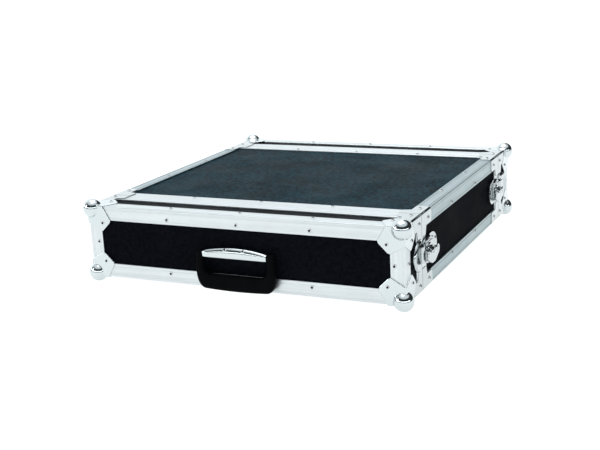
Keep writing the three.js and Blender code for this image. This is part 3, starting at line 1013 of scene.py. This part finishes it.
def build_latches():
    makers = {
        "base": (base_mesh, "body"),
        "catch": (catch_mesh, "{end}_cover"),
        "claw": (claw_mesh, "{end}_{side}_claw"),
        "spindle": (spindle_mesh, "{end}_{side}_spindle"),
        "wing": (wing_mesh, "{end}_{side}_wing"),
    }
    for part, (maker, body) in makers.items():
        for end in ENDS:
            for side in SIDES:
                node = f"{end}_{side}_latch_{part}"
                rides = body.format(end=end, side=side)
                where = quarter(end, side)
                add_piece(f"{node}_fine", maker(), "fittings", rides, [node], where)


# ---- Handle ----------------------------------------------

# The grip's outer and inner edge, in millimetres from its middle and over the case's underside.
GRIP_EYE = ((64, 55), (53.2, 55))
GRIP_SHOULDER = ((65.4, 34), (53.2, 38))
GRIP_CORNER = ((65.4, 2.4), (52, 24.6))
GRIP_HEEL = ((50, 1.3), (42, 24.6))
GRIP_MIDDLE = ((0, -0.3), (0, 24.6))
BAR_PULL = (24, -0.3)  # what the bar's underside leans towards between heel and middle
GRIP_REAR = -2.6  # the grip's back, in millimetres over the front
GRIP_FRONT = -13.5  # its front at the eyes
BAR_SWELL = 1.9  # and how far the bar swells past that
SWELL_RUN = 30  # over this height down each leg
EYE_SQUARENESS = 2.2  # 2 for an elliptical section, more for a squarer one


def bracket_crown(x):
    """Height of the bracket's top over its ends' height, at a distance along it."""
    share = x / BRACKET_HIGH.x
    return 5.5 * MM * (1 - share * share)


def bracket_mesh():
    """The plated bracket: a rolled channel for the grip's rod, its top crowned between its ends."""
    bm = bmesh.new()
    back = FRONT + WALL
    half = BRACKET_HIGH.x
    bore, rim_ease = 3 * MM, 0.12
    steps = 30
    rings = []
    for i in range(steps + 1):
        x = half * (2 * i / steps - 1)
        crown = bracket_crown(x)
        ease = ROLL * rim_ease * max(0.0, 1 - min(i, steps - i))
        flat = 2.2 * MM
        wide = ROLL - ease
        outer = [(back, PIVOT.z + ROLL + crown - ease)]
        outer += arc((PIVOT.y, PIVOT.z + flat), (wide, wide + crown - flat), 90, 180, 12)
        outer += arc((PIVOT.y, PIVOT.z - flat), (wide, wide - flat), 180, 270, 12)
        outer += [(back, PIVOT.z - ROLL + ease)]
        inner = [(back, PIVOT.z - bore)]
        inner += arc((PIVOT.y, PIVOT.z), bore, 270, 90, 16)
        inner += [(back, PIVOT.z + bore)]
        rings.append([bm.verts.new((x, y, z)) for y, z in outer + inner])
    add_loft(bm, rings)
    return finished("handle_bracket", bm, 40)


def between(first, second, share):
    return tuple(a + (b - a) * share for a, b in zip(first, second))


def curved(first, pull, last, share):
    """A point on the curve from the first to the last point that leans towards the pull."""
    return between(between(first, pull, share), between(pull, last, share), share)


def grip_stations():
    """Outer and inner edge of the grip's right half, from its eye to its middle."""
    stations = []
    for i in range(7):
        ends = zip(GRIP_EYE, GRIP_SHOULDER)
        stations.append([between(*points, i / 6) for points in ends])
    for i in range(1, 11):
        ends = zip(GRIP_SHOULDER, GRIP_CORNER, GRIP_HEEL)
        stations.append([curved(*points, i / 10) for points in ends])
    for i in range(1, 8):
        outer = curved(GRIP_HEEL[0], BAR_PULL, GRIP_MIDDLE[0], i / 7)
        stations.append([outer, between(GRIP_HEEL[1], GRIP_MIDDLE[1], i / 7)])
    return stations


def grip_mesh():
    """The moulded grip: a U of rounded section, full at its bar and slim at its two eyes."""
    bm = bmesh.new()
    right = grip_stations()
    left = [((-outer[0], outer[1]), (-inner[0], inner[1])) for outer, inner in right]
    rings = []
    steps = 32
    for outer, inner in right + left[-2::-1]:
        depth = min(1.0, (GRIP_EYE[0][1] - min(outer[1], GRIP_EYE[0][1])) / SWELL_RUN)
        front, rear = GRIP_FRONT - BAR_SWELL * depth, GRIP_REAR
        middle = Vector(((outer[0] + inner[0]) / 2, (front + rear) / 2, (outer[1] + inner[1]) / 2))
        reach = Vector(((outer[0] - inner[0]) / 2, 0, (outer[1] - inner[1]) / 2))
        power = 2 / (EYE_SQUARENESS + depth)
        ring = []
        for k in range(steps):
            angle = 2 * math.pi * k / steps
            c, s = math.cos(angle), math.sin(angle)
            u = math.copysign(abs(c) ** power, c)
            v = math.copysign(abs(s) ** power, s)
            point = middle + reach * u + Vector((0, (rear - front) / 2 * v, 0))
            ring.append(bm.verts.new(Vector((0, FRONT, BOTTOM)) + point * MM))
        rings.append(ring)
    add_loft(bm, rings)
    eased = 0.8 * MM
    for sign in (-1, 1):
        near, far = sorted((sign * 53.1 * MM, sign * 64.2 * MM))
        knuckle = [
            (0, near),
            (EYE - eased, near),
            (EYE, near + eased),
            (EYE, far - eased),
            (EYE - eased, far),
            (0, far),
        ]
        add_turned(bm, knuckle, "x", (PIVOT.y, PIVOT.z), 32)
    return finished("handle_grip", bm, 45)


def rod_mesh():
    bm = bmesh.new()
    half, radius = 54.5 * MM, 2.5 * MM
    profile = [(0, -half), (radius, -half), (radius, half), (0, half)]
    add_turned(bm, profile, "x", (PIVOT.y, PIVOT.z), 24)
    return finished("handle_rod", bm)


def build_handle():
    node = "handle_bracket"
    add_piece(f"{node}_fine", bracket_mesh(), "plated", "front_cover", [node])
    add_piece("handle_grip_fine", grip_mesh(), "grip", "handle", ["handle_grip"])
    add_piece("handle_rod", rod_mesh(), "plated", "handle")


# ---- Inside ----------------------------------------------


def finish_rails():
    for end in ENDS:
        for side in SIDES:
            dress(f"{end}_{side}_rack_rail", "powder")


def foam_mesh(low, high):
    """A cut foam pad with soft edges and a slightly uneven face."""
    bm = bmesh.new()
    bmesh.ops.create_grid(bm, x_segments=60, y_segments=14, size=0.5)
    wide, tall = high.x - low.x, high.z - low.z
    soft = 3 * MM
    for vert in bm.verts:
        u, v = vert.co.x, vert.co.y
        edge = min(0.5 - abs(u), (0.5 - abs(v)) * tall / wide) * wide
        fall = max(0.0, 1 - edge / soft)
        swell = 0.25 * MM * math.sin(u * 31) * math.sin(v * 13 + 1)
        vert.co = Vector((u * wide, -soft * fall * fall + swell * (1 - fall), v * tall))
    outline = bm.faces[:]
    bmesh.ops.recalc_face_normals(bm, faces=outline)
    extruded = bmesh.ops.extrude_face_region(bm, geom=outline)
    for item in extruded["geom"]:
        if isinstance(item, bmesh.types.BMVert):
            item.co.y = -(high.y - low.y) + 0.5 * MM
    return finished("foam", bm, 60)


def build_foam_pads():
    for end in ENDS:
        node = f"{end}_cover_foam"
        low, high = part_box(node)
        mesh = foam_mesh(low, high)
        inner = high.y if end == "front" else low.y
        turn = Matrix.Identity(4) if end == "front" else Matrix.Rotation(math.pi, 4, "Z")
        place = Vector(((low.x + high.x) / 2, inner, (low.z + high.z) / 2))
        inset = Vector((0, -0.4 * MM if end == "front" else 0.4 * MM, 0))
        where = Matrix.Translation(place + inset) @ turn
        piece = add_piece(f"{end}_foam_pad", mesh, "foam", f"{end}_cover", [node], where)


# ---- Rivets ----------------------------------------------

RIVET_SEED = 7
MANDREL_SHARE = 0.28  # a mandrel's radius over its head's diameter
MANDREL_PROUD = 0.15 * MM


def rivet_tree():
    """Sets a domed rivet with a dark mandrel on each point, square to its stored direction."""
    tree = bpy.data.node_groups.new("set_rivets", "GeometryNodeTree")
    face = tree.interface
    face.new_socket("Points", in_out="INPUT", socket_type="NodeSocketGeometry")
    diameter = face.new_socket("Head Diameter", in_out="INPUT", socket_type="NodeSocketFloat")
    diameter.default_value = 6.2 * MM
    height = face.new_socket("Head Height", in_out="INPUT", socket_type="NodeSocketFloat")
    height.default_value = 1.2 * MM
    seed = face.new_socket("Seed", in_out="INPUT", socket_type="NodeSocketInt")
    seed.default_value = RIVET_SEED
    face.new_socket("Head Material", in_out="INPUT", socket_type="NodeSocketMaterial")
    face.new_socket("Mandrel Material", in_out="INPUT", socket_type="NodeSocketMaterial")
    face.new_socket("Rivets", in_out="OUTPUT", socket_type="NodeSocketGeometry")

    def add(kind, settings=None, **inputs):
        """A node whose named inputs are given a value or another node's output."""
        node = tree.nodes.new(kind)
        for key, value in (settings or {}).items():
            setattr(node, key, value)
        for key, value in inputs.items():
            socket = node.inputs[key.replace("_", " ")]
            if isinstance(value, bpy.types.NodeSocket):
                tree.links.new(value, socket)
            else:
                socket.default_value = value
        return node

    def times(output, factor):
        node = add("ShaderNodeMath", {"operation": "MULTIPLY"})
        tree.links.new(output, node.inputs[0])
        node.inputs[1].default_value = factor
        return node.outputs[0]

    given = add("NodeGroupInput").outputs
    wide, twice = given["Head Diameter"], times(given["Head Height"], 2.0)
    dome = add("GeometryNodeMeshUVSphere", Segments=20, Rings=10, Radius=0.5)
    squash = add("ShaderNodeCombineXYZ", X=wide, Y=wide, Z=twice)
    flat = add("GeometryNodeTransform", Geometry=dome.outputs["Mesh"], Scale=squash.outputs[0])
    # The mandrel stub takes the near-black mandrel material: painted shade for the hole in the head,
    # over its own dark steel.
    stub = add("GeometryNodeMeshCylinder", Vertices=14, Radius=times(wide, MANDREL_SHARE), Depth=twice)
    lift = (0, 0, MANDREL_PROUD)
    proud = add("GeometryNodeTransform", Geometry=stub.outputs["Mesh"], Translation=lift)
    mark = {"data_type": "BOOLEAN", "domain": "FACE"}
    marked = add("GeometryNodeStoreNamedAttribute", mark, Name="mandrel", Value=True)
    tree.links.new(proud.outputs[0], marked.inputs["Geometry"])
    joined = add("GeometryNodeJoinGeometry")
    tree.links.new(marked.outputs[0], joined.inputs[0])
    tree.links.new(flat.outputs[0], joined.inputs[0])

    outward = add("GeometryNodeInputNamedAttribute", {"data_type": "FLOAT_VECTOR"}, Name="outward")
    facing = {"axis": "Z"}
    align = add("FunctionNodeAlignRotationToVector", facing, Vector=outward.outputs["Attribute"])
    spin = add("FunctionNodeRandomValue", {"data_type": "FLOAT"}, Seed=given["Seed"])
    spin.inputs[2].default_value = 0.0
    spin.inputs[3].default_value = 2 * math.pi
    about = add("FunctionNodeAxisAngleToRotation", Angle=spin.outputs[1])
    turned = add("FunctionNodeRotateRotation", {"rotation_space": "LOCAL"}, Rotation=align.outputs[0])
    tree.links.new(about.outputs[0], turned.inputs["Rotate By"])

    copies = add("GeometryNodeInstanceOnPoints", Points=given["Points"], Instance=joined.outputs[0])
    tree.links.new(turned.outputs[0], copies.inputs["Rotation"])
    real = add("GeometryNodeRealizeInstances", Geometry=copies.outputs[0])
    smooth = add("GeometryNodeSetShadeSmooth", Geometry=real.outputs[0])
    head = add("GeometryNodeSetMaterial", Geometry=smooth.outputs[0], Material=given["Head Material"])
    is_mandrel = add("GeometryNodeInputNamedAttribute", {"data_type": "BOOLEAN"}, Name="mandrel")
    mandrel = add("GeometryNodeSetMaterial", Geometry=head.outputs[0])
    tree.links.new(is_mandrel.outputs["Attribute"], mandrel.inputs["Selection"])
    tree.links.new(given["Mandrel Material"], mandrel.inputs["Material"])
    tree.links.new(mandrel.outputs[0], add("NodeGroupOutput").inputs["Rivets"])
    return tree


def rivet_piece(name, body, spots, tree):
    """Plain rivets on one body. Each spot is a point and the direction its head faces."""
    cloud = bpy.data.meshes.new(name)
    cloud.from_pydata([tuple(point) for point, _ in spots], [], [])
    outward = cloud.attributes.new("outward", "FLOAT_VECTOR", "POINT")
    for i, (_, direction) in enumerate(spots):
        outward.data[i].vector = direction
    holder = placed(name, cloud)
    modifier = holder.modifiers.new("rivets", "NODES")
    modifier.node_group = tree
    values = {
        "Head Diameter": sizes().rivet_diameter,
        "Head Height": sizes().rivet_height,
        "Seed": RIVET_SEED,
        "Head Material": finish("rivet"),
        "Mandrel Material": finish("mandrel"),
    }
    for socket in tree.interface.items_tree:
        if socket.in_out == "INPUT" and socket.name in values:
            modifier[socket.identifier] = values[socket.name]
    mesh = plain_mesh(holder)
    mesh.attributes.remove(mesh.attributes["mandrel"])
    if not mesh.polygons:
        raise RuntimeError(f"{name} has no rivets")
    piece = placed(name, mesh)
    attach(piece, body)
    return piece


def mirrored_spots(spots, ends):
    """Spots of the front's top right quarter, repeated in the ends' other quarters."""
    made = {}
    for end, _, _, where in quarters():
        if end not in ends:
            continue
        for point, direction in spots:
            place = where @ Vector(point)
            facing = where.to_3x3() @ Vector(direction)
            made[tuple(round(c, 5) for c in place)] = (place, facing)
    return list(made.values())


def cover_spots(end):
    up, out, ahead = (0, 0, 1), (1, 0, 0), (0, -1, 0)
    spots = []
    for x in (0, 118 * MM):
        spots.append(((x, FRONT, TOP - 14.5 * MM), ahead))
        spots.append(((x, FRONT + 14 * MM, TOP), up))
    spots.append(((HALF_WIDTH - 15.5 * MM, FRONT, MID_Z), ahead))
    spots.append(((HALF_WIDTH, FRONT + 15.5 * MM, MID_Z), out))
    plate = 1.4 * MM
    spots.append(((HALF_WIDTH - 26 * MM, FRONT - plate, TOP - 26 * MM), ahead))
    spots.append(((HALF_WIDTH - 26 * MM, FRONT + 26 * MM, TOP + plate), up))
    spots.append(((HALF_WIDTH + plate, FRONT + 26 * MM, TOP - 26 * MM), out))
    brace = 1 * MM
    spots.append(((HALF_WIDTH - 11 * MM, SEAM - 10 * MM, TOP + brace), up))
    spots.append(((HALF_WIDTH + brace, SEAM - 10 * MM, TOP - 11 * MM), out))
    made = mirrored_spots(spots, (end,))
    hidden_by_handle = (0, FRONT, BOTTOM + 14.5 * MM)
    if end == "front":
        made = [spot for spot in made if (spot[0] - Vector(hidden_by_handle)).length > MM]
        facing = Vector((0, -1, 1.2)).normalized()
        for x in (-15 * MM, 15 * MM):
            reach = Vector((x, -ROLL * 0.64, (ROLL + bracket_crown(x)) * 0.77))
            made.append((PIVOT + reach - facing * 0.2 * MM, facing))
    return made


def body_spots():
    up, out = (0, 0, 1), (1, 0, 0)
    spots = []
    spots.append(((HALF_WIDTH - 15.5 * MM, MID_Y - 64 * MM, TOP), up))
    spots.append(((HALF_WIDTH, MID_Y - 64 * MM, TOP - 16.5 * MM), out))
    for x in (0, 118 * MM):
        spots.append(((x, SEAM + 15.5 * MM, TOP), up))
    brace = 1 * MM
    spots.append(((HALF_WIDTH - 11 * MM, SEAM + 30 * MM, TOP + brace), up))
    spots.append(((HALF_WIDTH + brace, SEAM + 30 * MM, TOP - 11 * MM), out))
    spots.append(((HALF_WIDTH + BASE_TOP + 0.5 * MM, SEAM + 55 * MM, MID_Z + 9 * MM), out))
    return mirrored_spots(spots, ENDS)


def build_rivets():
    tree = rivet_tree()
    rivet_piece("body_rivets", "body", body_spots(), tree)
    for end in ENDS:
        rivet_piece(f"{end}_cover_rivets", f"{end}_cover", cover_spots(end), tree)


# ---- Studio ----------------------------------------------

WALL_GLOW = 1.3
CEILING_GLOW = 1.0
TUBE_GLOW = 4.5
ROOM_COLOUR = (0.93, 0.98, 1.0)

# Each softbox's name, place, target, width, height and watts.
SOFTBOXES = (
    ("overhead", (-0.2, 0.2, 3.2), (0, 0, 0), 2.4, 2.4, 45),
    ("left_strip", (-2.4, -1.8, 1.1), (0, 0, 0.05), 0.5, 1.5, 9),
)


def build_camera():
    """A long look down from the front right, rolled slightly."""
    eye = Vector((0.741, -1.60725, 0.513))
    target = Vector((0.0115, -0.08275, 0.0589))
    roll = math.radians(-3.0)
    data = bpy.data.cameras.new("view_camera")
    data.sensor_width = 36
    data.lens = 64.7
    data.clip_end = 200
    camera = placed("view_camera", data)
    turn = (target - eye).to_track_quat("-Z", "Y").to_matrix().to_4x4()
    camera.matrix_world = Matrix.Translation(eye) @ turn @ Matrix.Rotation(roll, 4, "Z")
    bpy.context.scene.camera = camera


def add_area_light(name, place, target, width, height, power):
    data = bpy.data.lights.new(name, "AREA")
    data.shape = "RECTANGLE"
    data.size, data.size_y = width, height
    data.energy = power
    light = placed(name, data)
    light.location = place
    light.rotation_euler = (Vector(target) - Vector(place)).to_track_quat("-Z", "Y").to_euler()


def build_world():
    """A dim room: a pale wall at the back left, a pale ceiling and low tubes round the front."""
    world = bpy.data.worlds.new("pale_room")
    world.use_nodes = True
    bpy.context.scene.world = world
    nodes, links = world.node_tree.nodes, world.node_tree.links
    background = nodes["Background"]
    place = nodes.new("ShaderNodeTexCoord")
    split = nodes.new("ShaderNodeSeparateXYZ")
    links.new(place.outputs["Generated"], split.inputs[0])

    def ramp(axis, low, high, to_low, to_high):
        """A soft step over one component of the direction looked in."""
        node = nodes.new("ShaderNodeMapRange")
        node.interpolation_type = "SMOOTHSTEP"
        links.new(split.outputs[axis], node.inputs["Value"])
        node.inputs["From Min"].default_value = low
        node.inputs["From Max"].default_value = high
        node.inputs["To Min"].default_value = to_low
        node.inputs["To Max"].default_value = to_high
        return node.outputs["Result"]

    def joined(operation, first, second):
        node = nodes.new("ShaderNodeMath")
        node.operation = operation
        links.new(first, node.inputs[0])
        links.new(second, node.inputs[1])
        return node.outputs[0]

    back = ramp("Y", -0.35, 0.15, 0.0, WALL_GLOW)
    wall = joined("MULTIPLY", ramp("X", -0.16, -0.04, 1.0, 0.0), back)
    ceiling = ramp("Z", 0.62, 0.8, 0.04, CEILING_GLOW)
    horizon = ramp("Z", 0.05, 0.08, 1.0, 0.0)
    tubes = joined("MULTIPLY", ramp("Z", 0.19, 0.21, 0.0, 1.0), ramp("Z", 0.28, 0.3, 1.0, 0.0))
    tubes = joined("MULTIPLY", tubes, ramp("Y", 0.0, 0.15, TUBE_GLOW, 0.0))
    room = joined("MAXIMUM", joined("MAXIMUM", wall, ceiling), joined("MAXIMUM", horizon, tubes))
    links.new(room, background.inputs["Strength"])
    background.inputs["Color"].default_value = (*ROOM_COLOUR, 1)


def build_floor():
    bm = bmesh.new()
    bmesh.ops.create_grid(bm, x_segments=8, y_segments=8, size=45)
    mesh = finished("studio_floor", bm)
    mesh.materials.append(finish("paper"))
    floor = placed("studio_floor", mesh)


# ---- Operators -------------------------------------------


class CASE_OT_stage(bpy.types.Operator):
    """Set up the camera, the pale floor and the soft studio light"""

    bl_idname = "case.stage"
    bl_label = "Stage"

    def execute(self, context):
        context.scene.view_settings.view_transform = "Standard"
        build_camera()
        build_world()
        build_floor()
        for softbox in SOFTBOXES:
            add_area_light(*softbox)
        return {"FINISHED"}


class CASE_OT_boards(bpy.types.Operator):
    """Face the boards with black laminate"""

    bl_idname = "case.boards"
    bl_label = "Boards"

    def execute(self, context):
        finish_boards()
        return {"FINISHED"}


class CASE_OT_edge_angles(bpy.types.Operator):
    """Build the grooved aluminium edge angles of the body and the covers"""

    bl_idname = "case.edge_angles"
    bl_label = "Edge Angles"

    def execute(self, context):
        build_edge_angles()
        return {"FINISHED"}


class CASE_OT_closing_frames(bpy.types.Operator):
    """Build the mitred closing frames on both sides of each seam"""

    bl_idname = "case.closing_frames"
    bl_label = "Closing Frames"

    def execute(self, context):
        build_closing_frames()
        return {"FINISHED"}


class CASE_OT_ball_corners(bpy.types.Operator):
    """Build the eight pressed ball corners"""

    bl_idname = "case.ball_corners"
    bl_label = "Ball Corners"

    def execute(self, context):
        build_ball_corners()
        return {"FINISHED"}


class CASE_OT_braces(bpy.types.Operator):
    """Build the bent braces at the seams' corners"""

    bl_idname = "case.braces"
    bl_label = "Seam Braces"

    def execute(self, context):
        build_braces()
        return {"FINISHED"}


class CASE_OT_latches(bpy.types.Operator):
    """Build the four butterfly latches"""

    bl_idname = "case.latches"
    bl_label = "Latches"

    def execute(self, context):
        build_latches()
        return {"FINISHED"}


class CASE_OT_handle(bpy.types.Operator):
    """Build the folding handle and its bracket"""

    bl_idname = "case.handle"
    bl_label = "Handle"

    def execute(self, context):
        build_handle()
        return {"FINISHED"}


class CASE_OT_rack_rails(bpy.types.Operator):
    """Powder-coat the rack rails"""

    bl_idname = "case.rack_rails"
    bl_label = "Rack Rails"

    def execute(self, context):
        finish_rails()
        return {"FINISHED"}


class CASE_OT_foam_pads(bpy.types.Operator):
    """Line the covers with foam"""

    bl_idname = "case.foam_pads"
    bl_label = "Foam Pads"

    def execute(self, context):
        build_foam_pads()
        return {"FINISHED"}


class CASE_OT_rivets(bpy.types.Operator):
    """Set the blind rivets of the body and the covers"""

    bl_idname = "case.rivets"
    bl_label = "Rivets"

    def execute(self, context):
        build_rivets()
        return {"FINISHED"}


OPERATORS = (
    CASE_OT_stage,
    CASE_OT_boards,
    CASE_OT_edge_angles,
    CASE_OT_closing_frames,
    CASE_OT_ball_corners,
    CASE_OT_braces,
    CASE_OT_latches,
    CASE_OT_handle,
    CASE_OT_rack_rails,
    CASE_OT_foam_pads,
    CASE_OT_rivets,
)


class CASE_PT_sidebar(bpy.types.Panel):
    """Lists the case's steps in the order they are built"""

    bl_label = "Rack Case"
    bl_idname = "CASE_PT_sidebar"
    bl_space_type = "VIEW_3D"
    bl_region_type = "UI"
    bl_category = "Rack Case"

    def draw(self, context):
        for operator in OPERATORS:
            self.layout.operator(operator.bl_idname)


CLASSES = (CaseSizes, CaseColours, *OPERATORS, CASE_PT_sidebar)


def register():
    for cls in CLASSES:
        bpy.utils.register_class(cls)
    bpy.types.Scene.case_sizes = bpy.props.PointerProperty(type=CaseSizes)
    bpy.types.Scene.case_colours = bpy.props.PointerProperty(type=CaseColours)


def unregister():
    del bpy.types.Scene.case_colours
    del bpy.types.Scene.case_sizes
    for cls in reversed(CLASSES):
        bpy.utils.unregister_class(cls)


def main():
    register()
    case = bpy.ops.case
    case.stage()
    case.boards()
    case.edge_angles()
    case.closing_frames()
    case.ball_corners()
    case.braces()
    case.latches()
    case.handle()
    case.rack_rails()
    case.foam_pads()
    case.rivets()


if __name__ == "__main__":
    main()
